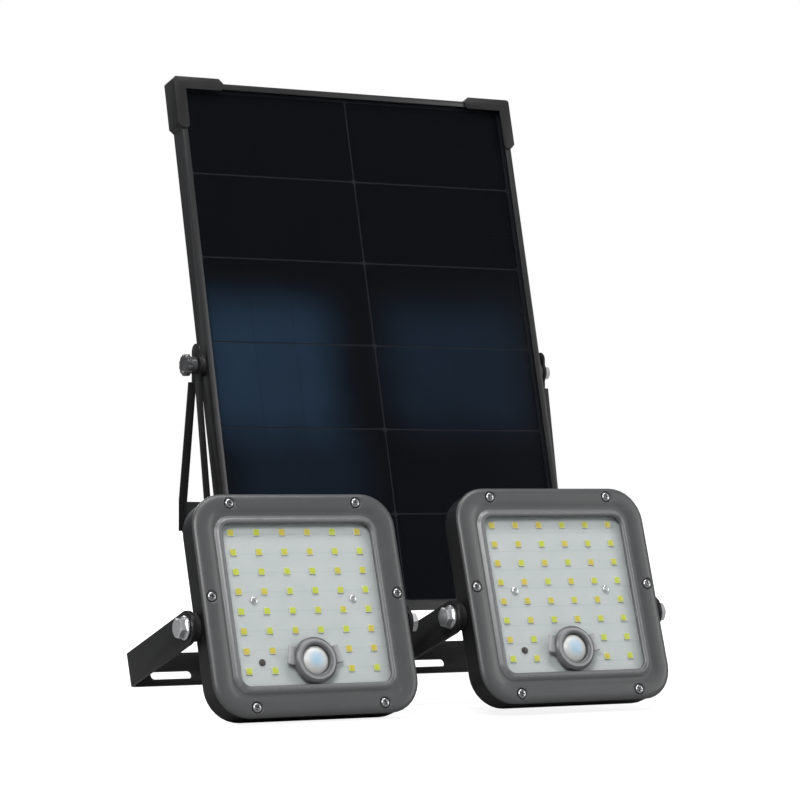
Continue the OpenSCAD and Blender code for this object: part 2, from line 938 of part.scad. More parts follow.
panel_stand();
frame_top_rail();
frame_bottom_rail();
frame_left_rail();
frame_right_rail();
corner_caps();
corner_keys();
panel_glass();
solar_cells();
back_sheet();
junction_box();
junction_box_lid();
junction_box_screws();
panel_cable_glands();
pivot_nuts();
panel_spacers();
thumb_screw();
panel_pivot_bolt();
left_bracket();
left_housing();
left_front_frame();
left_window();
left_gasket();
left_led_board();
left_leds();
left_board_screws();
left_frame_screws();
left_sensor_lens();
left_sensor_collar();
left_motion_sensor();
left_photocell();
left_battery_cells();
left_battery_cradle();
left_control_board();
left_cable_gland();
left_pivot_spacers();
left_pivot_bolts();
left_pivot_washers();
right_bracket();
right_housing();
right_front_frame();
right_window();
right_gasket();
right_led_board();
right_leds();
right_board_screws();
right_frame_screws();
right_sensor_lens();
right_sensor_collar();
right_motion_sensor();
right_photocell();
right_battery_cells();
right_battery_cradle();
right_control_board();
right_cable_gland();
right_pivot_spacers();
right_pivot_bolts();
right_pivot_washers();
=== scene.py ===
"""Looks of the solar flood light: two LED heads on strap brackets and a framed solar panel.

Pieces are shaped in millimetres, in the frame of the head or panel that they belong to,
and a placing matrix then stands them in the row frame in metres.
"""

import json
import math

import bmesh
import bpy
from mathutils import Matrix, Vector


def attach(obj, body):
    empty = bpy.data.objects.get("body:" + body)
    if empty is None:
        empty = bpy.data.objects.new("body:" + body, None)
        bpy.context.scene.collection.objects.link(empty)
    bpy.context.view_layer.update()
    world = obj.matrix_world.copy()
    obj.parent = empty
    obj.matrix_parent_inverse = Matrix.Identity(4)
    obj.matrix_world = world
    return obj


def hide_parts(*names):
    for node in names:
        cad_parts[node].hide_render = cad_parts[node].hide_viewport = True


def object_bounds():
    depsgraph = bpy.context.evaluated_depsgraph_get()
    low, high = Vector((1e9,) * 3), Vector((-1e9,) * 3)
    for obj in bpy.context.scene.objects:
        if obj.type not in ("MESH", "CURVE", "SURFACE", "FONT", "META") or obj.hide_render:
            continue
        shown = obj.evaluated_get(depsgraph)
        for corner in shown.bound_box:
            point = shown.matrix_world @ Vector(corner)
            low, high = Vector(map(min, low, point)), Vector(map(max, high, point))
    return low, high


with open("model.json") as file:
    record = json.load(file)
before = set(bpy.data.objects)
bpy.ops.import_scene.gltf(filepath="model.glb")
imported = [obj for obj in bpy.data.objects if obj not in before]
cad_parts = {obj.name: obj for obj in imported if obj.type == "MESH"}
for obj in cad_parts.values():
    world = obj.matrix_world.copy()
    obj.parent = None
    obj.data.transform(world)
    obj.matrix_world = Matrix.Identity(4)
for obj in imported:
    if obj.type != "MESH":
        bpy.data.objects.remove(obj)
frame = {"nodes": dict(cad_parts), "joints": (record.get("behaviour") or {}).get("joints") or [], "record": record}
cad_low, cad_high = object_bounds()
nodes = frame["nodes"]
record = frame["record"]

# ---------------------------------------------------------------- driving sizes, in mm

MM = 0.001
# Gap between pieces that sit together, and between pieces that move or clamp
SEAT_GAP = 0.05
CLEAR_GAP = 0.3

# Lean of the heads and the panel at rest, in degrees
HEAD_LEAN = 17.5
PANEL_LEAN = 14.4

# A head's outline and depths. Depths are from its pivot, and the front is -Y
HEAD_UP = 11.0
HEAD_HALF = 80.0
HEAD_CORNER = 25.0
SHELL_HALF = 79.0
SHELL_BACK = 18.0
SHELL_WALL = 2.5
FRAME_BACK = -15.55
WINDOW = (58.5, 58.0)
WINDOW_CORNER = 7.0
# Pocket for the window in the back of the frame
POCKET = (67.2, 66.7, 12.2)
# Front of the window, where the pocket, the screw heads and the collar seat
PANE_SEAT = -17.45
BOARD_FRONT = -13.8
BOARD_SEAT = BOARD_FRONT - SEAT_GAP
FRAME_SCREWS = ((-50, 73), (50, 73), (-73, 6), (73, 6), (-50, -73), (50, -73))
BOARD_SCREWS = ((-39.0, 3.6), (39.0, 3.6))
SCREW_SEEDS = {"left": 5, "right": 15, "lid": 31}

# What the LED board carries, with places from the middle of the head
LED_GRID = (6, 8)
LED_PITCH = (20.0, 14.2)
LED_UP = 3.0
SENSOR_Z = -41.0
PHOTOCELL = (-39.0, -40.5)
# Lens of the motion sensor: radius and height of its dome, and depth of its foot
DOME = (10.5, 4.2, -18.0)
COLLAR_R = 16.5
COLLAR_BORE = 10.55
COLLAR_FRONT = -21.5
SLEEVE_R = 12.3
GLAND_Z = -52.0

# Head pivots, from the middle of the head
ARM_IN = 83.8
ARM_OUT = 86.8
BOLT_IN = 64.0
BOLT_SEAT = 88.75

# Panel. Depths are from the pivot, and the panel's own front is 11.1 mm before it
PANEL_HALF_W = 153.0
PANEL_MID = 18.0
PIVOT_DEPTH = 11.1
PLATE_IN = 157.0
PLATE_OUT = 159.0
PIVOT_IN = 141.0
PIVOT_SEAT = PLATE_OUT + CLEAR_GAP
CELL_GRID = (2, 6)
CELL_PITCH = (146.75, 69.917)
CELL_SEAM = 1.2
FRAME_LIP, GLASS_T, CELL_T, SHEET_T = 1.4, 3.2, 0.3, 0.5
CELL_BACK = FRAME_LIP + GLASS_T + CELL_T + 2 * SEAT_GAP - PIVOT_DEPTH
BOX_FRONT = FRAME_LIP + GLASS_T + CELL_T + SHEET_T + 4 * SEAT_GAP - PIVOT_DEPTH
BOX_UP = 62.0
BOX_HALF_H = 30.0
BOX_WALL = 2.0
# The glands' axes and the back of the lid, from the front of the junction box
BOX_GLANDS_IN = 14.5
BOX_GLANDS_X = (-18, 18)
LID_BACK = 26.55
BOX_SCREWS = [(x, z) for x in (-32, 32) for z in (-24, 24)]

# ---------------------------------------------------------------- placing

JOINTS = {joint["name"]: Vector(joint["pos_m"]) for joint in frame["joints"]}


def placing(pivot, lean):
    """From millimetres about a pivot, leaning back by some degrees, to the row frame."""
    leant = Matrix.Rotation(math.radians(-lean), 4, "X")
    return Matrix.Translation(pivot) @ leant @ Matrix.Scale(MM, 4)


def shift(x=0.0, y=0.0, z=0.0):
    """A move by millimetres."""
    return Matrix.Translation((x, y, z))


def turn(degrees, axis):
    """A turn about an axis, by its letter."""
    return Matrix.Rotation(math.radians(degrees), 4, axis)


HEADS = {
    side: placing(JOINTS[side + "_head_tilt"], HEAD_LEAN) for side in ("left", "right")
}
FACES = {side: matrix @ shift(z=HEAD_UP) for side, matrix in HEADS.items()}
PANEL = placing(JOINTS["panel_tilt"], PANEL_LEAN)
# Turn that sends the shapes' own +Y to +X, and to -X
TO_RIGHT = turn(-90, "Z")
TO_LEFT = turn(90, "Z")

# ---------------------------------------------------------------- camera and softboxes


def add_camera():
    """A long lens from the front left, looking slightly upward."""
    data = bpy.data.cameras.new("camera")
    data.lens = 135.0
    data.sensor_width = 36.0
    data.clip_end = 50.0
    camera = bpy.data.objects.new("camera", data)
    bpy.context.scene.collection.objects.link(camera)
    azimuth, rise = math.radians(29.4), math.radians(1.68)
    ahead = Vector((
        math.sin(azimuth) * math.cos(rise),
        math.cos(azimuth) * math.cos(rise),
        math.sin(rise),
    ))
    camera.location = (-1.1696, -2.1272, 0.0392)
    camera.rotation_mode = "QUATERNION"
    camera.rotation_quaternion = ahead.to_track_quat("-Z", "Y")
    bpy.context.scene.camera = camera


def add_softbox(name, place, aim, size, watts):
    """A white rectangle of light at a place, turned to face the aim."""
    data = bpy.data.lights.new(name, "AREA")
    data.shape = "RECTANGLE"
    data.size, data.size_y = size
    data.energy = watts
    lamp = bpy.data.objects.new(name, data)
    bpy.context.scene.collection.objects.link(lamp)
    lamp.location = place
    lamp.rotation_mode = "QUATERNION"
    lamp.rotation_quaternion = (Vector(aim) - Vector(place)).to_track_quat("-Z", "Y")


add_camera()

# ---------------------------------------------------------------- shader maths


class Value:
    """A socket in a material, with the operators that the materials below use."""

    def __init__(self, tree, socket):
        self.tree = tree
        self.socket = socket

    def math(self, operation, other=None, swap=False):
        pair = [self, other] if not swap else [other, self]
        inputs = {i: v for i, v in enumerate(pair) if v is not None}
        return self.tree.node("ShaderNodeMath", {"operation": operation}, inputs)[0]

    def __add__(self, other):
        return self.math("ADD", other)

    def __radd__(self, other):
        return self.math("ADD", other)

    def __sub__(self, other):
        return self.math("SUBTRACT", other)

    def __rsub__(self, other):
        return self.math("SUBTRACT", other, swap=True)

    def __mul__(self, other):
        return self.math("MULTIPLY", other)

    def __rmul__(self, other):
        return self.math("MULTIPLY", other)

    def __truediv__(self, other):
        return self.math("DIVIDE", other)

    def __lt__(self, other):
        return self.math("LESS_THAN", other)

    def __abs__(self):
        return self.math("ABSOLUTE")

    def modulo(self, step):
        return self.math("FLOORED_MODULO", step)


class Finish:
    """A material whose nodes are written as calls and expressions."""

    def __init__(self, name):
        self.material = bpy.data.materials.new(name)
        self.material.use_nodes = True
        self.tree = self.material.node_tree
        self.tree.nodes.clear()
        self.output = self.tree.nodes.new("ShaderNodeOutputMaterial")
        self.place = self.node("ShaderNodeTexCoord")[3]

    def node(self, kind, settings=None, inputs=None):
        """Adds a node, sets its settings and then its sockets, and returns its outputs."""
        made = self.tree.nodes.new(kind)
        for key, value in (settings or {}).items():
            setattr(made, key, value)
        for key, value in (inputs or {}).items():
            if isinstance(value, Value):
                self.tree.links.new(value.socket, made.inputs[key])
            else:
                made.inputs[key].default_value = value
        return [Value(self, socket) for socket in made.outputs]

    def noise(self, scale, detail=3.0):
        """Noise from 0 to 1, with its scale per metre."""
        return self.node(
            "ShaderNodeTexNoise",
            {"noise_dimensions": "3D"},
            {"Vector": self.place, "Scale": scale, "Detail": detail},
        )[0]

    def axes(self, lean=0.0, pivot=(0.0, 0.0, 0.0)):
        """X, Y and Z, along the leaning piece's own axes where a lean and pivot are given."""
        away = self.node(
            "ShaderNodeVectorMath", {"operation": "SUBTRACT"}, {0: self.place, 1: tuple(pivot)}
        )[0]
        own = self.node(
            "ShaderNodeVectorRotate", {"rotation_type": "X_AXIS"},
            {"Vector": away, "Angle": math.radians(lean)},
        )[0]
        return self.node("ShaderNodeSeparateXYZ", None, {0: own})

    def tone(self):
        """The tone, from 0 to 1, that a piece's own points carry."""
        return self.node("ShaderNodeAttribute", {"attribute_name": "tone"})[2]

    def hill(self, value, middle, half):
        """A smooth rise to 1 at the middle, and 0 beyond half either side."""
        return self.node(
            "ShaderNodeMapRange", {"interpolation_type": "SMOOTHERSTEP"},
            {"Value": abs(value - middle), "From Min": half, "From Max": half * 0.25},
        )[0]

    def mix(self, amount, first, second):
        """Mixes two colours."""
        return self.node(
            "ShaderNodeMix",
            {"data_type": "RGBA"},
            {0: amount, 6: self.colour(first), 7: self.colour(second)},
        )[2]

    @staticmethod
    def colour(value):
        return value if isinstance(value, Value) else (*value[:3], 1.0)

    def bump(self, height, strength, distance):
        return self.node(
            "ShaderNodeBump", None, {"Height": height, "Strength": strength, "Distance": distance}
        )[0]

    def surface(self, **sockets):
        """Ends the material in a Principled shader; a socket's words are joined by _."""
        inputs = {key.replace("_", " "): value for key, value in sockets.items()}
        inputs["Base Color"] = self.colour(inputs["Base Color"])
        shader = self.node("ShaderNodeBsdfPrincipled", None, inputs)[0]
        self.tree.links.new(shader.socket, self.output.inputs[0])
        return self.material


def coated(name, colour, roughness, grain, grain_scale=1400.0, metallic=0.0, specular=0.5):
    """Paint or powder coat: fine orange peel, soft blotches and a slightly uneven sheen."""
    f = Finish(name)
    peel = f.noise(grain_scale, 4.0)
    cloud = f.noise(22.0, 3.0)
    dust = f.noise(160.0, 5.0)
    light = [min(1.0, c * 1.28 + 0.004) for c in colour]
    dark = [c * 0.8 for c in colour]
    shade = f.mix(cloud * 0.6 + dust * 0.4, dark, light)
    return f.surface(
        Base_Color=shade,
        Roughness=roughness - 0.07 + cloud * 0.08 + dust * 0.08,
        Metallic=metallic,
        Specular_IOR_Level=specular,
        Normal=f.bump(peel, grain, 0.0002),
    )


def satin_with_painted_highlight(name, colour, second, roughness, grain):
    """Satin paint, lighter and glossier where the piece's tone is high: the second colour is a painted highlight
    on a crest.
    """
    f = Finish(name)
    peel = f.noise(1800.0, 4.0)
    cloud = f.noise(22.0, 3.0)
    dust = f.noise(160.0, 5.0)
    tone = f.tone()
    dark = f.mix(cloud * 0.6 + dust * 0.4, [c * 0.85 for c in colour], [c * 1.15 for c in colour])
    return f.surface(
        # Painted highlight: the tone mixes in the lighter second colour
        Base_Color=f.mix(tone, dark, second),
        Roughness=roughness - tone * 0.1 + cloud * 0.08 + dust * 0.06,
        Normal=f.bump(peel, grain, 0.0002),
    )


def moulded(name, colour, roughness, grain=0.25, specular=0.4):
    """Moulded plastic with a spark-eroded texture."""
    f = Finish(name)
    spark = f.noise(2600.0, 2.0)
    cloud = f.noise(35.0, 3.0)
    light = [min(1.0, c * 1.2 + 0.003) for c in colour]
    dark = [c * 0.85 for c in colour]
    return f.surface(
        Base_Color=f.mix(cloud, dark, light),
        Roughness=roughness - 0.05 + spark * 0.1,
        Specular_IOR_Level=specular,
        Normal=f.bump(spark, grain, 0.00012),
    )


def plated(name, colour, roughness):
    """Plated or brushed metal: fine lines and faint stains."""
    f = Finish(name)
    lines = f.noise(900.0, 4.0)
    stain = f.noise(120.0, 4.0)
    dark = [c * 0.84 for c in colour]
    return f.surface(
        Base_Color=f.mix(stain, dark, colour),
        Metallic=1.0,
        Roughness=roughness - 0.03 + lines * 0.08 + stain * 0.04,
        Normal=f.bump(lines, 0.04, 0.00005),
    )


def cell_silicon():
    """Nearly black cells: fine fingers, faint bars, and a painted bluish reflection over the middle rows and low
    on the left.
    """
    f = Finish("cell_silicon")
    x, y, z = f.axes(PANEL_LEAN, JOINTS["panel_tilt"])
    finger_pitch, bar_pitch, bar_half = 0.0018, 0.036, 0.0005
    finger = (z / finger_pitch).modulo(1.0) < 0.12
    bar = abs((x + bar_pitch / 2).modulo(bar_pitch) - bar_pitch / 2) < bar_half
    cloud = f.noise(16.0, 2.0)
    crystal = f.noise(500.0, 2.0)
    # Painted reflection: a bluish glare of the glass painted on the cells, across the middle rows and strongest on
    # the left column, with a weaker patch low on the left
    row = f.hill(z + cloud * 0.02, 0.010, 0.085)
    left = f.hill(x + cloud * 0.02, -0.09, 0.095)
    right = f.hill(x + cloud * 0.02, 0.085, 0.1)
    painted_reflection = row * (left * 0.95 + right * 0.4) * (cloud * 0.6 + 0.6)
    low = f.hill(z, -0.085, 0.05) * f.hill(x, -0.08, 0.09) * 0.3
    base = f.mix(cloud, (0.0016, 0.0016, 0.0018), (0.0030, 0.0030, 0.0034))
    base = f.mix(painted_reflection + low, base, (0.022, 0.043, 0.066))
    base = f.mix(finger * 0.2, base, (0.006, 0.006, 0.007))
    base = f.mix(bar * 0.3, base, (0.008, 0.008, 0.009))
    return f.surface(
        Base_Color=base,
        Roughness=0.42 + crystal * 0.1,
        Specular_IOR_Level=0.05,
        Normal=f.bump(crystal * 0.3 + finger * 0.3, 0.05, 0.00005),
    )


def clear(name, tint, gloss, roughness):
    """Clear sheet: light passes straight through, and it mirrors more at a low angle."""
    f = Finish(name)
    smear = f.noise(40.0, 2.0)
    slant = f.node("ShaderNodeLayerWeight", None, {"Blend": 0.5})[1]
    grazing = slant.math("POWER", 5.0) * 0.96 + 0.04
    through = f.node("ShaderNodeBsdfTransparent", None, {0: (*tint, 1.0)})[0]
    mirror = f.node(
        "ShaderNodeBsdfPrincipled",
        None,
        {"Base Color": (1, 1, 1, 1), "Metallic": 1.0, "Roughness": roughness + smear * 0.01},
    )[0]
    both = f.node("ShaderNodeMixShader", None, {0: grazing * gloss, 1: through, 2: mirror})[0]
    f.tree.links.new(both.socket, f.output.inputs[0])
    return f.material


def board_white():
    """White solder mask over the faint edges of copper pours that join the LEDs."""
    f = Finish("board_white")
    z = f.axes()[2]
    cloud = f.noise(60.0, 3.0)
    fine = f.noise(1500.0, 2.0)
    pour_pitch, edge_half = 0.0132, 0.0004
    edge = abs(z.modulo(pour_pitch) - pour_pitch / 2) < edge_half
    base = f.mix(cloud, (0.49, 0.515, 0.51), (0.57, 0.58, 0.575))
    base = f.mix(edge * 0.3, base, (0.36, 0.44, 0.43))
    return f.surface(
        Base_Color=base,
        Roughness=0.36 + cloud * 0.1,
        Normal=f.bump(fine * 0.2 + edge, 0.15, 0.0001),
    )


def phosphor():
    """Yellow phosphor gel with a granular tone, and a faint painted glow."""
    f = Finish("led_phosphor")
    grain = f.noise(2400.0, 3.0)
    batch = f.node(
        "ShaderNodeMapRange", None, {"Value": f.noise(75.0, 0.0), "From Min": 0.42, "From Max": 0.62}
    )[0]
    gel = f.mix(batch, (0.46, 0.52, 0.03), (0.56, 0.40, 0.04))
    return f.surface(
        Base_Color=f.mix(grain * 0.5, gel, (0.60, 0.60, 0.12)),
        Roughness=0.3 + grain * 0.1,
        # Painted glow: a faint emission brightens the unlit phosphor
        Emission_Color=gel,
        Emission_Strength=0.1,
    )


def milky_dome():
    """Milky polyethylene lens, bluish in its middle where the tone is high."""
    f = Finish("sensor_dome")
    cloud = f.noise(90.0, 3.0)
    milk = f.mix(cloud, (0.50, 0.51, 0.50), (0.60, 0.60, 0.58))
    return f.surface(
        Base_Color=f.mix(f.tone(), milk, (0.36, 0.50, 0.62)),
        Roughness=0.32 + cloud * 0.08,
        Subsurface_Weight=0.35,
        Subsurface_Radius=(0.004, 0.004, 0.005),
        Subsurface_Scale=0.6,
        Normal=f.bump(cloud, 0.05, 0.0002),
    )


def film(name, colour, roughness):
    """Laminated film or shrink wrap with soft waves."""
    f = Finish(name)
    wave = f.noise(55.0, 3.0)
    fine = f.noise(700.0, 2.0)
    dark = [c * 0.85 for c in colour]
    return f.surface(
        Base_Color=f.mix(wave, dark, colour),
        Roughness=roughness + fine * 0.08,
        Normal=f.bump(wave + fine * 0.1, 0.12, 0.0004),
    )


FINISHES = {
    "black_bracket": coated("black_bracket", (0.010, 0.010, 0.0108), 0.4, 0.3, specular=0.2),
    "dark_rail": coated("dark_rail", (0.020, 0.020, 0.021), 0.34, 0.15, 900.0, 0.3),
    "cap_plastic": moulded("cap_plastic", (0.0125, 0.0125, 0.013), 0.44, 0.3, 0.22),
    "bare_aluminium": plated("bare_aluminium", (0.72, 0.72, 0.74), 0.4),
    "panel_glass": clear("panel_glass", (0.86, 0.88, 0.92), 0.08, 0.09),
    "cell_silicon": cell_silicon(),
    "back_sheet": film("back_sheet", (0.003, 0.003, 0.0035), 0.7),
    "box_plastic": moulded("box_plastic", (0.024, 0.024, 0.025), 0.48, 0.3),
    "zinc_steel": plated("zinc_steel", (0.80, 0.80, 0.81), 0.3),
    "gland_nylon": moulded("gland_nylon", (0.02, 0.02, 0.021), 0.5),
    "nut_brass": plated("nut_brass", (0.78, 0.6, 0.28), 0.3),
    "black_rubber": moulded("black_rubber", (0.012, 0.012, 0.012), 0.75, 0.4),
    "knob_plastic": moulded("knob_plastic", (0.05, 0.05, 0.052), 0.24, 0.1, 0.7),
    "housing_paint": coated("housing_paint", (0.008, 0.008, 0.0088), 0.42, 0.4, specular=0.2),
    # frame_paint's second colour is a painted highlight on the lip crest
    "frame_paint": satin_with_painted_highlight("frame_paint", (0.062, 0.0625, 0.064), (0.15, 0.152, 0.154), 0.3, 0.25),
    "clear_window": clear("clear_window", (0.97, 0.98, 0.98), 0.9, 0.03),
    "board_white": board_white(),
    "led_phosphor": phosphor(),
    "frame_screw_steel": plated("frame_screw_steel", (0.40, 0.40, 0.41), 0.26),
    "sensor_dome": milky_dome(),
    # sensor_collar's second colour is a painted highlight on its crest ring and lugs
    "sensor_collar": satin_with_painted_highlight("sensor_collar", (0.10, 0.10, 0.103), (0.34, 0.345, 0.35), 0.26, 0.1),
    "sensor_can": plated("sensor_can", (0.7, 0.7, 0.68), 0.28),
    "photocell_resin": moulded("photocell_resin", (0.05, 0.045, 0.04), 0.25, 0.1),
    "battery_wrap": film("battery_wrap", (0.05, 0.2, 0.45), 0.3),
    "green_board": film("green_board", (0.03, 0.16, 0.07), 0.35),
    "spacer_nylon": moulded("spacer_nylon", (0.018, 0.018, 0.018), 0.5),
}
LED_BODY = moulded("led_body", (0.62, 0.63, 0.50), 0.35, 0.1)

SLOTS = {entry["node"]: entry["material_slot"] for entry in record["subparts"]}
for name, cad in nodes.items():
    cad.data.materials.clear()
    cad.data.materials.append(FINISHES[SLOTS[name]])

# ---------------------------------------------------------------- shapes, in mm


def outline(half_w, half_h, radius, y, steps=8):
    """A rectangle with round corners at depth y, as a ring of points."""
    points = []
    for corner, (side, level) in enumerate(((1, 1), (-1, 1), (-1, -1), (1, -1))):
        for step in range(steps + 1):
            angle = math.pi / 2 * (corner + step / steps)
            points.append((
                side * (half_w - radius) + radius * math.cos(angle),
                y,
                level * (half_h - radius) + radius * math.sin(angle),
            ))
    return points


def join(bm, first, second):
    """Faces between two rings of vertices; a ring of one vertex is a pole."""
    count = max(len(first), len(second))
    for i in range(count):
        corners = [first[i % len(first)], first[(i + 1) % len(first)]]
        corners += [second[(i + 1) % len(second)], second[i % len(second)]]
        face = list(dict.fromkeys(corners))
        if len(face) > 2:
            bm.faces.new(face)


def loft(bm, rings, closed=False, matrix=None):
    """A skin over rings of points. It ends in flat caps, or joins up with its start."""
    loops = [[bm.verts.new(matrix @ Vector(p) if matrix else p) for p in ring] for ring in rings]
    for first, second in zip(loops, loops[1:]):
        join(bm, first, second)
    if closed:
        join(bm, loops[-1], loops[0])
    else:
        for loop in (loops[0], loops[-1]):
            if len(loop) > 2:
                bm.faces.new(loop)


def lathe(bm, profile, steps=48, closed=False, matrix=None, reach=None):
    """Turns a profile of radius and depth round Y; reach may vary the radius by angle."""
    rings = []
    for radius, y in profile:
        if radius < 0.001:
            rings.append([(0.0, y, 0.0)])
            continue
        ring = []
        for step in range(steps):
            angle = 2 * math.pi * step / steps
            r = reach(angle, radius, y) if reach else radius
            ring.append((r * math.cos(angle), y, r * math.sin(angle)))
        rings.append(ring)
    loft(bm, rings, closed, matrix)


CONE_SLOPE = 0.577


def hexagon(across_corners, chamfer_from, top):
    """Radius of a hexagon whose corners are turned away by a 30 degree cone near its top."""
    apothem = across_corners / 2 * math.cos(math.pi / 6)

    def reach(angle, radius, y):
        flat = apothem / math.cos((angle % (math.pi / 3)) - math.pi / 6)
        cone = chamfer_from + abs(top - y) / CONE_SLOPE
        return min(flat, cone, radius)

    return reach


def hex_head(bm, across_corners, low, high, matrix=None, bore=0.0):
    """A hexagon from low to high along Y, with its end turned to a cone."""
    apothem = across_corners / 2 * math.cos(math.pi / 6)
    reach = hexagon(across_corners, apothem * 0.93, high)
    span = high - low
    levels = [0.0, 0.5, 0.78, 0.85, 0.9, 0.94, 0.97, 1.0]
    profile = [(across_corners, low + span * level) for level in levels]
    inner = [(bore, high), (bore, low)] if bore else [(0, high - 0.02 * span)]
    start = [] if bore else [(0, low)]

    def outer(angle, radius, y):
        return reach(angle, radius, y) if radius > bore + 0.01 else radius

    lathe(bm, start + profile + inner, 96, bool(bore), matrix, outer)


def as_mesh(bm, name, matrix=None):
    """Ends a shape: merges, turns its faces outwards, places it and makes it a mesh."""
    bmesh.ops.remove_doubles(bm, verts=bm.verts, dist=0.0005)
    bmesh.ops.recalc_face_normals(bm, faces=bm.faces)
    if matrix:
        bm.transform(matrix)
    mesh = bpy.data.meshes.new(name)
    bm.to_mesh(mesh)
    bm.free()
    return mesh


def baked(mesh, set_up):
    """The mesh after the modifiers that set_up adds to an object that holds it."""
    holder = bpy.data.objects.new("holder", mesh)
    bpy.context.scene.collection.objects.link(holder)
    set_up(holder)
    graph = bpy.context.evaluated_depsgraph_get()
    result = bpy.data.meshes.new_from_object(holder.evaluated_get(graph))
    holder.modifiers.clear()
    bpy.data.objects.remove(holder)
    return result


def combined(mesh, other, operation):
    """The mesh joined with the other, or with the other's volume taken away."""
    tool = bpy.data.objects.new("other", other)
    bpy.context.scene.collection.objects.link(tool)

    def set_up(holder):
        both = holder.modifiers.new("both", "BOOLEAN")
        both.operation = operation
        both.solver = "EXACT"
        both.object = tool

    result = baked(mesh, set_up)
    bpy.data.objects.remove(tool)
    return result


def eased(mesh, width, segments=2, angle=30.0):
    """The mesh with its hard edges rounded; width is in the mesh's own units."""

    def set_up(holder):
        bevel = holder.modifiers.new("ease", "BEVEL")
        bevel.width = width
        bevel.segments = segments
        bevel.limit_method = "ANGLE"
        bevel.angle_limit = math.radians(angle)
        bevel.use_clamp_overlap = True

    return baked(mesh, set_up)


def toned(mesh, tone):
    """Stores a tone on each point of a mesh, from the point's place in millimetres."""
    layer = mesh.attributes.new("tone", "FLOAT", "POINT")
    for vertex in mesh.vertices:
        layer.data[vertex.index].value = max(0.0, min(1.0, tone(vertex.co)))
    return mesh


def settle(name, mesh, body, slot, replaced, sharp=32.0):
    """Makes a piece of a mesh: shading, finish, the body it rides on and what it replaces."""
    mesh.name = name
    mesh.shade_smooth()
    mesh.set_sharp_from_angle(angle=math.radians(sharp))
    if not mesh.materials:
        mesh.materials.append(FINISHES[slot])
    piece = bpy.data.objects.new(name, mesh)
    bpy.context.scene.collection.objects.link(piece)
    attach(piece, body)
    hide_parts(*replaced)


def soften(node, body, width, segments=2, angle=30.0):
    """Replaces a CAD node by a merged copy whose hard edges are rounded."""
    bm = bmesh.new()
    bm.from_mesh(nodes[node].data)
    bmesh.ops.remove_doubles(bm, verts=bm.verts, dist=0.000002)
    bmesh.ops.dissolve_limit(
        bm, angle_limit=math.radians(1.0), verts=bm.verts, edges=bm.edges
    )
    mesh = bpy.data.meshes.new(node)
    bm.to_mesh(mesh)
    bm.free()
    mesh = eased(mesh, width * MM, segments, angle)
    settle(node + "_skin", mesh, body, SLOTS[node], [node])


# ---------------------------------------------------------------- patterns of repeated pieces


class Pattern:
    """A Geometry Nodes tree written as calls, with its sizes as named inputs."""

    def __init__(self, name, **inputs):
        self.tree = bpy.data.node_groups.new(name, "GeometryNodeTree")
        face = self.tree.interface
        face.new_socket("Geometry", in_out="OUTPUT", socket_type="NodeSocketGeometry")
        face.new_socket("Geometry", in_out="INPUT", socket_type="NodeSocketGeometry")
        self.keys = {}
        for key, kind in inputs.items():
            made = face.new_socket(key, in_out="INPUT", socket_type="NodeSocket" + kind)
            self.keys[key] = made.identifier
        self.given = self.tree.nodes.new("NodeGroupInput").outputs
        self.end = self.tree.nodes.new("NodeGroupOutput")

    def node(self, kind, settings=None, inputs=None):
        """Adds a node with its settings and sockets, and returns its outputs."""
        made = self.tree.nodes.new(kind)
        for key, value in (settings or {}).items():
            setattr(made, key, value)
        for key, value in (inputs or {}).items():
            if isinstance(value, bpy.types.NodeSocket):
                self.tree.links.new(value, made.inputs[key])
            else:
                made.inputs[key].default_value = value
        return made.outputs

    def close(self, geometry):
        self.tree.links.new(geometry, self.end.inputs[0])

    def made(self, host, **values):
        """The host's mesh after this pattern, with its named inputs set."""

        def set_up(holder):
            pattern = holder.modifiers.new("pattern", "NODES")
            pattern.node_group = self.tree
            for key, value in values.items():
                pattern[self.keys[key]] = value

        return baked(host, set_up)


def scatter_pattern():
    """One piece on every point of the host, each turned about Y by chance."""
    p = Pattern("pieces_on_points", Piece="Object", Seed="Int", Finish="Material")
    piece = p.node("GeometryNodeObjectInfo", None, {"Object": p.given["Piece"]})["Geometry"]
    chance = p.node(
        "FunctionNodeRandomValue", {"data_type": "FLOAT"},
        {"Min": 0.0, "Max": 2 * math.pi, "Seed": p.given["Seed"]},
    )["Value"]
    spin = p.node("ShaderNodeCombineXYZ", None, {"Y": chance})[0]
    placed = p.node(
        "GeometryNodeInstanceOnPoints", None,
        {"Points": p.given["Geometry"], "Instance": piece, "Rotation": spin},
    )[0]
    real = p.node("GeometryNodeRealizeInstances", None, {0: placed})[0]
    p.close(p.node(
        "GeometryNodeSetMaterial", None, {"Geometry": real, "Material": p.given["Finish"]}
    )[0])
    return p


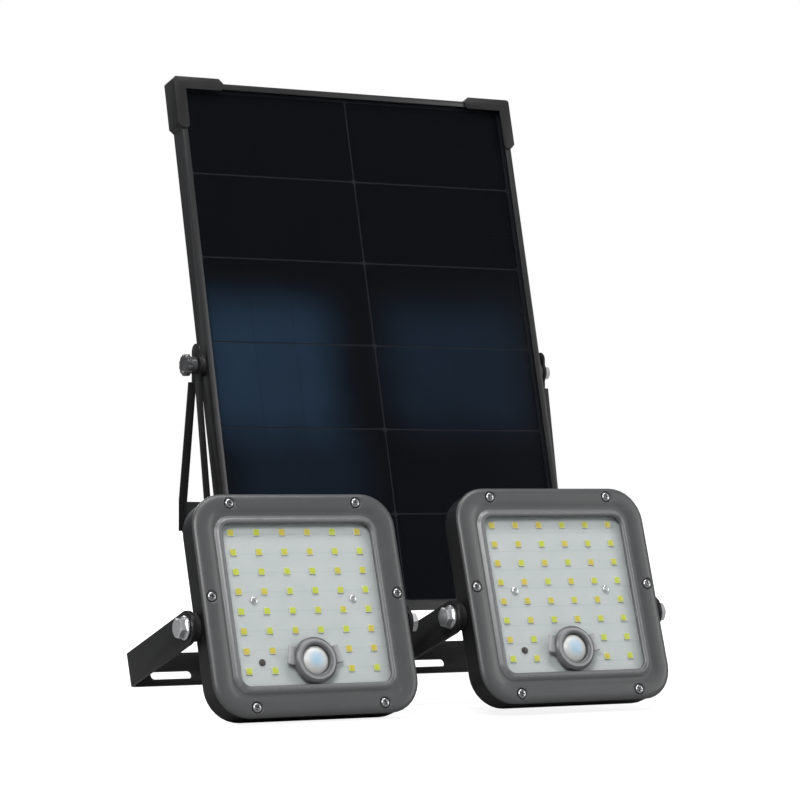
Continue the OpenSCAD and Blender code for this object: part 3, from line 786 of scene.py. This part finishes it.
def grid_pattern():
    """Rows and columns of one piece in X and Z, left out round a clear spot.

    Faces of the piece that carry the attribute named glow get the second finish.
    """
    p = Pattern(
        "rows_and_columns", Piece="Object", Columns="Int", Rows="Int", Pitch_X="Float",
        Pitch_Z="Float", Up="Float", Spot_Z="Float", Clear="Float",
        Finish="Material", Glow_Finish="Material",
    )

    def maths(operation, first, second):
        return p.node("ShaderNodeMath", {"operation": operation}, {0: first, 1: second})[0]

    wide = maths("MULTIPLY", maths("SUBTRACT", p.given["Columns"], 1.0), p.given["Pitch_X"])
    tall = maths("MULTIPLY", maths("SUBTRACT", p.given["Rows"], 1.0), p.given["Pitch_Z"])
    flat = p.node("GeometryNodeMeshGrid", None, {
        "Size X": wide, "Size Y": tall,
        "Vertices X": p.given["Columns"], "Vertices Y": p.given["Rows"],
    })[0]
    lift = p.node("ShaderNodeCombineXYZ", None, {"Z": p.given["Up"]})[0]
    stood = p.node("GeometryNodeTransform", None, {
        "Geometry": flat, "Translation": lift, "Rotation": (math.pi / 2, 0.0, 0.0),
    })[0]
    spot = p.node("ShaderNodeCombineXYZ", None, {"Z": p.given["Spot_Z"]})[0]
    place = p.node("GeometryNodeInputPosition")[0]
    away = p.node(
        "ShaderNodeVectorMath", {"operation": "DISTANCE"}, {0: place, 1: spot}
    )["Value"]
    near = p.node(
        "FunctionNodeCompare", {"data_type": "FLOAT", "operation": "LESS_THAN"},
        {0: away, 1: p.given["Clear"]},
    )[0]
    kept = p.node(
        "GeometryNodeDeleteGeometry", {"domain": "POINT"}, {"Geometry": stood, "Selection": near}
    )[0]
    piece = p.node("GeometryNodeObjectInfo", None, {"Object": p.given["Piece"]})["Geometry"]
    placed = p.node(
        "GeometryNodeInstanceOnPoints", None, {"Points": kept, "Instance": piece}
    )[0]
    real = p.node("GeometryNodeRealizeInstances", None, {0: placed})[0]
    coated_all = p.node(
        "GeometryNodeSetMaterial", None, {"Geometry": real, "Material": p.given["Finish"]}
    )[0]
    glow = p.node(
        "GeometryNodeInputNamedAttribute", {"data_type": "BOOLEAN"}, {"Name": "glow"}
    )["Attribute"]
    p.close(p.node("GeometryNodeSetMaterial", None, {
        "Geometry": coated_all, "Selection": glow, "Material": p.given["Glow_Finish"],
    })[0])
    return p


SCATTER = scatter_pattern()
GRID = grid_pattern()


def scattered(points, piece_mesh, seed, finish):
    """The piece on each point, in mm, as one mesh."""
    host = bpy.data.meshes.new("points")
    host.from_pydata([tuple(point) for point in points], [], [])
    piece = bpy.data.objects.new("one", piece_mesh)
    bpy.context.scene.collection.objects.link(piece)
    mesh = SCATTER.made(host, Piece=piece, Seed=seed, Finish=finish)
    bpy.data.objects.remove(piece)
    return mesh


def gridded(piece_mesh, grid, pitch, up, spot_z, clear, finish, glow):
    """The piece in rows and columns, in mm, as one mesh."""
    host = bpy.data.meshes.new("empty")
    piece = bpy.data.objects.new("one", piece_mesh)
    bpy.context.scene.collection.objects.link(piece)
    mesh = GRID.made(
        host, Piece=piece, Columns=grid[0], Rows=grid[1], Pitch_X=pitch[0], Pitch_Z=pitch[1],
        Up=up, Spot_Z=spot_z, Clear=clear, Finish=finish, Glow_Finish=glow,
    )
    bpy.data.objects.remove(piece)
    return mesh


# ---------------------------------------------------------------- the heads' pieces


def pan_screw(head_r, head_t, shank_r, length):
    """A pan head screw along +Y with a cross recess; its head stands towards -Y."""
    bm = bmesh.new()
    lathe(bm, [
        (0, -head_t), (head_r * 0.45, -head_t * 0.985), (head_r * 0.72, -head_t * 0.9),
        (head_r * 0.88, -head_t * 0.7), (head_r * 0.97, -head_t * 0.4), (head_r, -head_t * 0.12),
        (head_r * 0.97, 0), (shank_r, 0), (shank_r, length - 1), (0, length),
    ], 32)
    screw = as_mesh(bm, "screw")
    wide, thin = head_r * 0.6, head_r * 0.12
    levels = ((1.15, -head_t - 0.6), (1.0, -head_t * 0.95), (0.5, -head_t * 0.35))
    for spin in (0, 90):
        bm = bmesh.new()
        loft(
            bm, [outline(wide * size, thin * size, 0.04, y, 1) for size, y in levels],
            matrix=turn(spin, "Y"),
        )
        screw = combined(screw, as_mesh(bm, "recess"), "DIFFERENCE")
    return screw


def front_frame(side):
    """Cast front frame: a round outer edge, a dished band and a raised lip round the window."""
    def ring(inset, y):
        return outline(HEAD_HALF - inset, HEAD_HALF - inset, HEAD_CORNER - inset, y)

    def lip(out, y):
        return outline(WINDOW[0] + out, WINDOW[1] + out, WINDOW_CORNER + out, y)

    edge_in, edge_deep, edge_from, steps = 5.5, 2.7, -16.2, 9
    rings = [ring(0.5, FRAME_BACK), ring(0.1, -15.7), ring(0, -15.95), ring(0, edge_from)]
    for step in range(1, steps + 1):
        bend = math.pi / 2 * step / steps
        inset = edge_in * (1 - math.cos(bend))
        rings.append(ring(inset, edge_from - edge_deep * math.sin(bend)))
    rings += [ring(7.5, -18.9), ring(10, -18.8), ring(12.4, -18.45), ring(13.6, -18.1)]
    rings += [
        lip(6.6, -17.95), lip(5.9, -18.0), lip(5.4, -18.3), lip(4.5, -19.0), lip(3.8, -19.5),
        lip(3.1, -19.85), lip(2.4, -20.0), lip(1.5, -19.97), lip(0.9, -19.75), lip(0.25, -19.1),
        lip(0, -18.7), lip(0, PANE_SEAT), outline(*POCKET, PANE_SEAT),
        outline(*POCKET, FRAME_BACK),
    ]
    bm = bmesh.new()
    loft(bm, rings, closed=True)
    frame_mesh = as_mesh(bm, "front_frame")
    bm = bmesh.new()
    for x, z in FRAME_SCREWS:
        lathe(bm, [
            (0, PANE_SEAT), (4.0, PANE_SEAT), (4.1, -18.2), (4.35, -18.5), (5.0, -18.75),
            (5.1, -22), (0, -22),
        ], 32, matrix=shift(x=x, z=z))
    frame_mesh = combined(frame_mesh, as_mesh(bm, "screw_seats"), "DIFFERENCE")
    # Painted highlight: the tone rises along the crest of the lip round the window, on its front side, and
    # lightens the paint there
    crest, fade, dish = 2.6, 0.22, -18.2

    def painted_lip_highlight(p):
        out = max(abs(p.x) - WINDOW[0], abs(p.z) - WINDOW[1])
        return 1.0 - abs(out - crest) * fade if p.y < dish else 0.0

    toned(frame_mesh, painted_lip_highlight)
    frame_mesh.transform(FACES[side])
    settle(side + "_front_frame_skin", frame_mesh, side + "_head", "frame_paint",
           [side + "_front_frame"], 25)


def housing(side):
    """Hollow shell with a tapered back, round edges and shallow ribs on its back."""
    def ring(inset, y, corner=None):
        half = SHELL_HALF - inset
        return outline(half, half, corner or max(24 - inset * 0.55, 12), y)

    bm = bmesh.new()
    rings = [ring(17.5, 15.4), ring(14.0, 13.4), ring(2.6, 1.2), ring(2.6, -11.1)]
    rings += [ring(15.4, -11.1, 10), ring(15.4, -13.3, 10), ring(11.6, -13.4, 12.4)]
    rings += [ring(11.6, -15.5, 12.4), ring(1.0, -15.5), ring(0.3, -15.3)]
    rings += [
        ring(0, -14.8), ring(0, 0.6), ring(0.12, 1.8), ring(0.6, 2.9), ring(1.5, 4.0),
        ring(10.6, 14.4), ring(12.0, 15.9), ring(13.6, 17.1), ring(15.6, 17.8),
        ring(18, SHELL_BACK), ring(20.5, SHELL_BACK), ring(21.1, 17.7), ring(21.3, 17.0),
    ]
    loft(bm, rings)
    rib_count, rib_pitch, rib_up = 17, 5.6, 10
    for i in range(rib_count):
        foot = outline(0.95, 39, 0.9, 16.9, 3)
        top = outline(0.6, 38.4, 0.55, 17.95, 3)
        across = (i - (rib_count - 1) // 2) * rib_pitch
        loft(bm, [foot, top], matrix=shift(x=across, z=rib_up))
    mesh = as_mesh(bm, "housing", FACES[side])
    settle(side + "_housing_skin", mesh, side + "_head", "housing_paint",
           [side + "_housing"], 28)


def led_package():
    """One LED: a square body with eased edges and a domed phosphor window set in its front."""
    bm = bmesh.new()
    loft(bm, [
        outline(2.5, 2.5, 0.35, 0, 2), outline(2.5, 2.5, 0.35, -0.75, 2),
        outline(2.35, 2.35, 0.5, -0.97, 2), outline(2.22, 2.22, 0.7, -0.97, 2),
        outline(2.15, 2.15, 0.8, -0.86, 2), outline(1.4, 1.4, 0.9, -1.0, 2),
        outline(0.5, 0.5, 0.35, -1.06, 2),
    ])
    mesh = as_mesh(bm, "led")
    marks = mesh.attributes.new("glow", "BOOLEAN", "FACE")
    for face in mesh.polygons:
        centre = face.center
        inner = max(abs(centre.x), abs(centre.z)) < 2.05 and centre.y < -0.8
        marks.data[face.index].value = inner
    return mesh


def leds(side):
    """Rows of LEDs on the board, with none under the sensor's collar."""
    room = 2.5
    mesh = gridded(
        led_package(), LED_GRID, LED_PITCH, LED_UP, SENSOR_Z, COLLAR_R + room,
        LED_BODY, FINISHES["led_phosphor"],
    )
    mesh.transform(FACES[side] @ shift(y=BOARD_SEAT))
    settle(side + "_led_packages", mesh, side + "_head", "led_phosphor", [side + "_leds"], 40)


def screws(name, body, replaced, slot, places, piece, seed, matrix):
    """One set of screws as a piece, from places of X and Z that the matrix puts on a face."""
    mesh = scattered([(x, 0, z) for x, z in places], piece, seed, FINISHES[slot])
    mesh.transform(matrix)
    settle(name, mesh, body, slot, replaced, 35)


def dome(side):
    """Milky lens: a shallow hollow cap on a short skirt."""
    foot_r, height, foot = DOME
    ball = (foot_r ** 2 + height ** 2) / (2 * height)
    bm = bmesh.new()
    steps = 12
    tilt = math.asin(foot_r / ball)
    outer = [
        (ball * math.sin(tilt * i / steps), foot - height + ball * (1 - math.cos(tilt * i / steps)))
        for i in range(steps + 1)
    ]
    inner = [(max(r - 1.1, 0.0), y + 1.0) for r, y in outer[2:]]
    skirt = [(foot_r, foot + 2), (foot_r - 1.4, foot + 2)]
    lathe(bm, outer + skirt + inner[::-1] + [(0, foot - height + 1)], 64)
    mesh = toned(as_mesh(bm, "dome"), lambda p: 1.5 - math.hypot(p.x, p.z) / 5.0)
    mesh.transform(FACES[side] @ shift(z=SENSOR_Z))
    settle(side + "_sensor_dome", mesh, side + "_head", "sensor_dome", [side + "_sensor_lens"], 50)


def collar(side):
    """Collar round the sensor: a chamfered ring with two flat lugs."""
    seat, front, bore = PANE_SEAT, COLLAR_FRONT, COLLAR_BORE
    sleeve_foot, sleeve_bore, step = -13.9, 11.0, -16.2
    bm = bmesh.new()
    lathe(bm, [
        (bore, step), (bore, front + 0.9), (bore + 0.5, front + 0.25), (bore + 1.1, front),
        (COLLAR_R - 2.6, front), (COLLAR_R - 1.9, front + 0.18), (COLLAR_R - 0.5, front + 1.5),
        (COLLAR_R - 0.12, front + 2.0), (COLLAR_R, front + 2.6), (COLLAR_R, seat),
        (SLEEVE_R, seat), (SLEEVE_R, sleeve_foot), (sleeve_bore, sleeve_foot), (sleeve_bore, step),
    ], 96, True)
    ring = as_mesh(bm, "collar")
    for way in (1, -1):
        bm = bmesh.new()
        loft(bm, [
            outline(3.4, 6.5, 0.9, seat, 3), outline(3.4, 6.5, 0.9, seat - 1.5, 3),
            outline(3.0, 6.1, 0.7, seat - 2.0, 3),
        ], matrix=turn(-12 * way, "Y") @ shift(x=way * 17.6))
        ring = combined(ring, as_mesh(bm, "lug"), "UNION")
    ring = eased(ring, 0.18, 2, 40)
    # Painted highlight on the collar's crest ring and on its lugs, carried by the tone
    crest = 13.6
    toned(ring, lambda p: max(abs(p.x) - 16.2, 1.4 - abs(math.hypot(p.x, p.z) - crest) * 2))
    ring.transform(FACES[side] @ shift(z=SENSOR_Z))
    settle(side + "_collar_skin", ring, side + "_head", "sensor_collar",
           [side + "_sensor_collar"], 30)


def sensor_can(side):
    """Metal can of the motion sensor, with its small window in front and a flange at its foot."""
    bm = bmesh.new()
    lathe(bm, [
        (0, -18.75), (1.6, -18.75), (1.8, -18.6), (3.7, -18.6), (4.3, -18.4), (4.6, -18.0),
        (4.6, -14.9), (5.1, -14.75), (5.1, BOARD_SEAT), (0, BOARD_SEAT),
    ], 40)
    mesh = as_mesh(bm, "can", FACES[side] @ shift(z=SENSOR_Z))
    settle(side + "_sensor_can", mesh, side + "_head", "sensor_can", [side + "_motion_sensor"])


def photocell(side):
    """Low round-topped light cell, lower left on the board."""
    bm = bmesh.new()
    lathe(bm, [
        (0, -15.19), (1.2, -15.17), (1.9, -15.05), (2.3, -14.75), (2.5, -14.3),
        (2.5, BOARD_SEAT), (0, BOARD_SEAT),
    ], 32)
    mesh = as_mesh(bm, "photocell", FACES[side] @ shift(x=PHOTOCELL[0], z=PHOTOCELL[1]))
    settle(side + "_light_cell", mesh, side + "_head", "photocell_resin", [side + "_photocell"])


def gland(bm, wall, matrix):
    """Cable gland along +Y from its outer wall: stub, inner nut, hexagon and fluted dome nut."""
    stub, bore, dome_foot = 5.9, 2.8, 5
    lathe(bm, [(stub, -wall - 4), (stub, 0.6), (bore, 0.6), (bore, -wall - 4)], 32, True, matrix)
    hex_head(bm, 15.2, -wall - SEAT_GAP, -wall - 3, matrix, stub)
    hex_head(bm, 18, SEAT_GAP, dome_foot, matrix, bore)

    flute_count, flute_depth, fluted_from = 12, 0.35, 7.1

    def flutes(angle, radius, y):
        in_flute = radius > fluted_from and math.cos(angle * flute_count) > 0.55
        return radius - flute_depth if in_flute else radius

    lathe(bm, [
        (bore, dome_foot), (7.2, dome_foot), (7.6, 5.5), (7.6, 11.6), (7.3, 12.6), (6.6, 13.3),
        (6.2, 13.6), (6.0, 14.6), (5.5, 15), (3.4, 15), (bore, 14.4),
    ], 96, True, matrix, flutes)


def head_gland(side):
    """The gland low on the back of a head, through its wall."""
    bm = bmesh.new()
    gland(bm, SHELL_WALL, shift(y=SHELL_BACK, z=GLAND_Z))
    mesh = as_mesh(bm, "gland", FACES[side])
    settle(side + "_gland", mesh, side + "_head", "gland_nylon", [side + "_cable_gland"])


def head_pivots(side):
    """Spacer, plain washer and hexagon bolt on each side of a head."""
    body = side + "_head"
    spacer, washer, bolt = bmesh.new(), bmesh.new(), bmesh.new()
    for way, spin in ((TO_RIGHT, 11), (TO_LEFT, 34)):
        low, high = SHELL_HALF + SEAT_GAP, ARM_IN - CLEAR_GAP
        lathe(spacer, [
            (4.3, low), (9.3, low), (9.8, low + 0.5), (9.8, high - 0.8), (9.0, high), (4.3, high),
        ], 48, True, way)
        low, high = ARM_OUT + CLEAR_GAP, ARM_OUT + 1.9
        lathe(washer, [
            (4.2, low), (8.15, low), (8.4, low + 0.25), (8.4, high - 0.35), (8.05, high), (4.2, high),
        ], 64, True, way)
        lathe(bolt, [
            (0, BOLT_IN), (3.4, BOLT_IN), (3.9, BOLT_IN + 0.5), (3.9, BOLT_SEAT),
            (0, BOLT_SEAT + 0.5),
        ], 32, False, way)
        hex_head(bolt, 15, BOLT_SEAT, BOLT_SEAT + 5.3, way @ turn(spin, "Y"))
    settle(side + "_spacers", as_mesh(spacer, "spacers", HEADS[side]), body, "spacer_nylon",
           [side + "_pivot_spacers"])
    settle(side + "_washers", as_mesh(washer, "washers", HEADS[side]), body, "zinc_steel",
           [side + "_pivot_washers"])
    settle(side + "_bolts", as_mesh(bolt, "bolts", HEADS[side]), body, "zinc_steel",
           [side + "_pivot_bolts"], 20)


def build_head(side):
    """All the pieces of one head, and its strap bracket."""
    body = side + "_head"
    seed = SCREW_SEEDS[side]
    front_frame(side)
    housing(side)
    leds(side)
    dome(side)
    collar(side)
    sensor_can(side)
    photocell(side)
    head_gland(side)
    head_pivots(side)
    screws(side + "_frame_screw_set", body, [side + "_frame_screws"], "frame_screw_steel",
           FRAME_SCREWS, pan_screw(3.6, 2.2, 1.6, 18), seed,
           FACES[side] @ shift(y=PANE_SEAT))
    screws(side + "_board_screw_set", body, [side + "_board_screws"], "zinc_steel",
           BOARD_SCREWS, pan_screw(3.0, 1.4, 1.3, 12), seed + 1,
           FACES[side] @ shift(y=BOARD_SEAT))
    soften(side + "_led_board", body, 0.15, 1)
    soften(side + "_bracket", "brackets", 0.7, 3, 40)


build_head("left")
build_head("right")

# ---------------------------------------------------------------- the panel's pieces


def panel_cells():
    """Cells with cut corners, in two columns."""
    half_w, half_h = [(pitch - CELL_SEAM) / 2 for pitch in CELL_PITCH]
    bm = bmesh.new()
    loft(bm, [outline(half_w, half_h, 2.0, y, 1) for y in (0.0, -0.25)])
    spot_off_panel, spot_size = 900.0, 1.0
    mesh = gridded(
        as_mesh(bm, "cell"), CELL_GRID, CELL_PITCH, PANEL_MID, spot_off_panel, spot_size,
        FINISHES["cell_silicon"], FINISHES["cell_silicon"],
    )
    mesh.transform(PANEL @ shift(y=CELL_BACK))
    settle("cells_in_rows", mesh, "panel", "cell_silicon", ["solar_cells"])


def thumb_screw():
    """Thumb screw on the left: a scalloped disc with round edges on a hub."""
    seat, inner = PIVOT_SEAT, PIVOT_IN
    disc = seat + 5.4
    rim_r, scallops_from, scallop_half, scallop_depth = 8.7, 7.2, 1.35, 0.75

    def scallops(angle, radius, y):
        if radius < scallops_from:
            return radius
        off = abs((angle % (math.pi / 6)) - math.pi / 12) * radius
        cut = max(0.0, 1.0 - (off / scallop_half) ** 2)
        return radius - cut * scallop_depth * (radius / rim_r) ** 4

    bm = bmesh.new()
    lathe(bm, [
        (0, inner), (3.0, inner), (3.0, seat), (6.0, seat), (6.6, seat + 0.5), (6.6, disc - 0.6),
        (7.3, disc), (8.1, disc + 0.15), (8.6, disc + 0.6), (rim_r, disc + 1.2), (rim_r, disc + 3.5),
        (8.55, disc + 4.2), (8.0, disc + 4.65), (7.25, disc + 4.8), (5.6, disc + 4.8),
        (5.2, disc + 4.5), (3.4, disc + 4.3), (0, disc + 4.3),
    ], 144, False, TO_LEFT, scallops)
    settle("thumb_screw_skin", as_mesh(bm, "screw", PANEL), "thumb_screw", "knob_plastic",
           ["thumb_screw"], 28)


def pivot_parts():
    """Flange bolt on the right of the panel, and the spacers on both sides."""
    seat, inner = PIVOT_SEAT, PIVOT_IN
    bolt, spacer = bmesh.new(), bmesh.new()
    lathe(bolt, [
        (0, inner), (2.6, inner), (3.0, inner + 0.5), (3.0, seat), (6.9, seat), (7.1, seat + 0.25),
        (7.1, seat + 0.9), (6.6, seat + 1.3), (5.6, seat + 1.5), (0, seat + 1.5),
    ], 48, False, TO_RIGHT)
    hex_head(bolt, 11.54, seat + 1.3, seat + 6, TO_RIGHT @ turn(17, "Y"))
    low, high = PANEL_HALF_W + SEAT_GAP, PLATE_IN - CLEAR_GAP
    for way in (TO_RIGHT, TO_LEFT):
        lathe(spacer, [
            (3.3, low), (8.0, low), (8.5, low + 0.5), (8.5, high - 0.5), (8.0, high), (3.3, high),
        ], 48, True, way)
    settle("flange_bolt", as_mesh(bolt, "bolt", PANEL), "panel", "zinc_steel",
           ["panel_pivot_bolt"], 20)
    settle("panel_spacer_pair", as_mesh(spacer, "spacers", PANEL), "panel", "spacer_nylon",
           ["panel_spacers"])


def panel_glands():
    """Two glands that point down from the junction box."""
    bm = bmesh.new()
    for x in BOX_GLANDS_X:
        foot = shift(x, BOX_FRONT + BOX_GLANDS_IN, BOX_UP - BOX_HALF_H)
        gland(bm, BOX_WALL, foot @ turn(-90, "X"))
    settle("gland_pair", as_mesh(bm, "glands", PANEL), "panel", "gland_nylon",
           ["panel_cable_glands"])


panel_cells()
thumb_screw()
pivot_parts()
panel_glands()
screws("lid_screw_set", "panel", ["junction_box_screws"], "zinc_steel",
       BOX_SCREWS, pan_screw(2.7, 1.8, 1.3, 11), SCREW_SEEDS["lid"],
       PANEL @ shift(y=BOX_FRONT + LID_BACK, z=BOX_UP) @ turn(180, "Z"))
for rail in ("top", "bottom", "left", "right"):
    soften("frame_%s_rail" % rail, "panel", 0.35, 2)
soften("corner_caps", "panel", 0.45, 2)
soften("junction_box", "panel", 0.5, 2)
soften("junction_box_lid", "panel", 0.7, 3)
soften("panel_stand", "brackets", 0.5, 2, 40)

# ---------------------------------------------------------------- floor and studio


def add_floor():
    """A plain pale floor under the lowest edge, lit brighter to the eye than to the object."""
    f = Finish("pale_floor")
    cloud = f.noise(3.0, 2.0)
    away = f.node("ShaderNodeVectorMath", {"operation": "LENGTH"}, {0: f.place})[1]
    far = f.node(
        "ShaderNodeMapRange", {"interpolation_type": "SMOOTHSTEP"},
        {"Value": away, "From Min": 0.25, "From Max": 1.0},
    )[0]
    shade = f.mix(cloud, (0.34, 0.34, 0.34), (0.36, 0.36, 0.36))
    glow = f.mix(far, (0.86, 0.86, 0.86), (1.3, 1.3, 1.3))
    near = f.node("ShaderNodeBsdfPrincipled", None, {
        "Base Color": shade, "Roughness": 0.9, "Specular IOR Level": 0.0,
        "Emission Color": glow, "Emission Strength": 1.0,
    })[0]
    dim = f.node("ShaderNodeBsdfPrincipled", None, {
        "Base Color": shade, "Roughness": 0.9, "Specular IOR Level": 0.0,
    })[0]
    eye = f.node("ShaderNodeLightPath")[0]
    both = f.node("ShaderNodeMixShader", None, {0: eye, 1: dim, 2: near})[0]
    f.tree.links.new(both.socket, f.output.inputs[0])
    half_width, drop = 30.0, 0.0005
    bm = bmesh.new()
    bmesh.ops.create_grid(bm, x_segments=1, y_segments=1, size=half_width)
    mesh = bpy.data.meshes.new("floor")
    bm.to_mesh(mesh)
    bm.free()
    mesh.transform(Matrix.Translation((0, 0, cad_low.z - drop)))
    mesh.materials.append(f.material)
    floor = bpy.data.objects.new("floor", mesh)
    bpy.context.scene.collection.objects.link(floor)


def set_world():
    """White behind the object, and a dim grey where the object mirrors its surroundings."""
    world = bpy.data.worlds.new("studio")
    bpy.context.scene.world = world
    world.use_nodes = True
    tree = world.node_tree
    tree.nodes.clear()
    path = tree.nodes.new("ShaderNodeLightPath")
    seen = tree.nodes.new("ShaderNodeBackground")
    seen.inputs[0].default_value = (1, 1, 1, 1)
    lit = tree.nodes.new("ShaderNodeBackground")
    lit.inputs[0].default_value = (0.94, 0.97, 1.0, 1)
    lit.inputs[1].default_value = 0.26
    mix = tree.nodes.new("ShaderNodeMixShader")
    output = tree.nodes.new("ShaderNodeOutputWorld")
    tree.links.new(path.outputs["Is Camera Ray"], mix.inputs[0])
    tree.links.new(lit.outputs[0], mix.inputs[1])
    tree.links.new(seen.outputs[0], mix.inputs[2])
    tree.links.new(mix.outputs[0], output.inputs[0])


set_world()
add_floor()
add_softbox("key", (-1.5, -1.9, 1.5), (0, -0.2, 0), (1.0, 1.0), 46.0)
add_softbox("fill", (1.9, -1.6, 0.7), (0, -0.2, 0), (0.8, 1.4), 16.0)
add_softbox("top", (0.0, -0.7, 1.9), (0, -0.25, 0), (1.4, 0.5), 24.0)
add_softbox("back", (-0.4, 2.0, 1.6), (0, 0, 0), (1.6, 0.8), 32.0)
bpy.context.scene.view_settings.view_transform = "Standard"
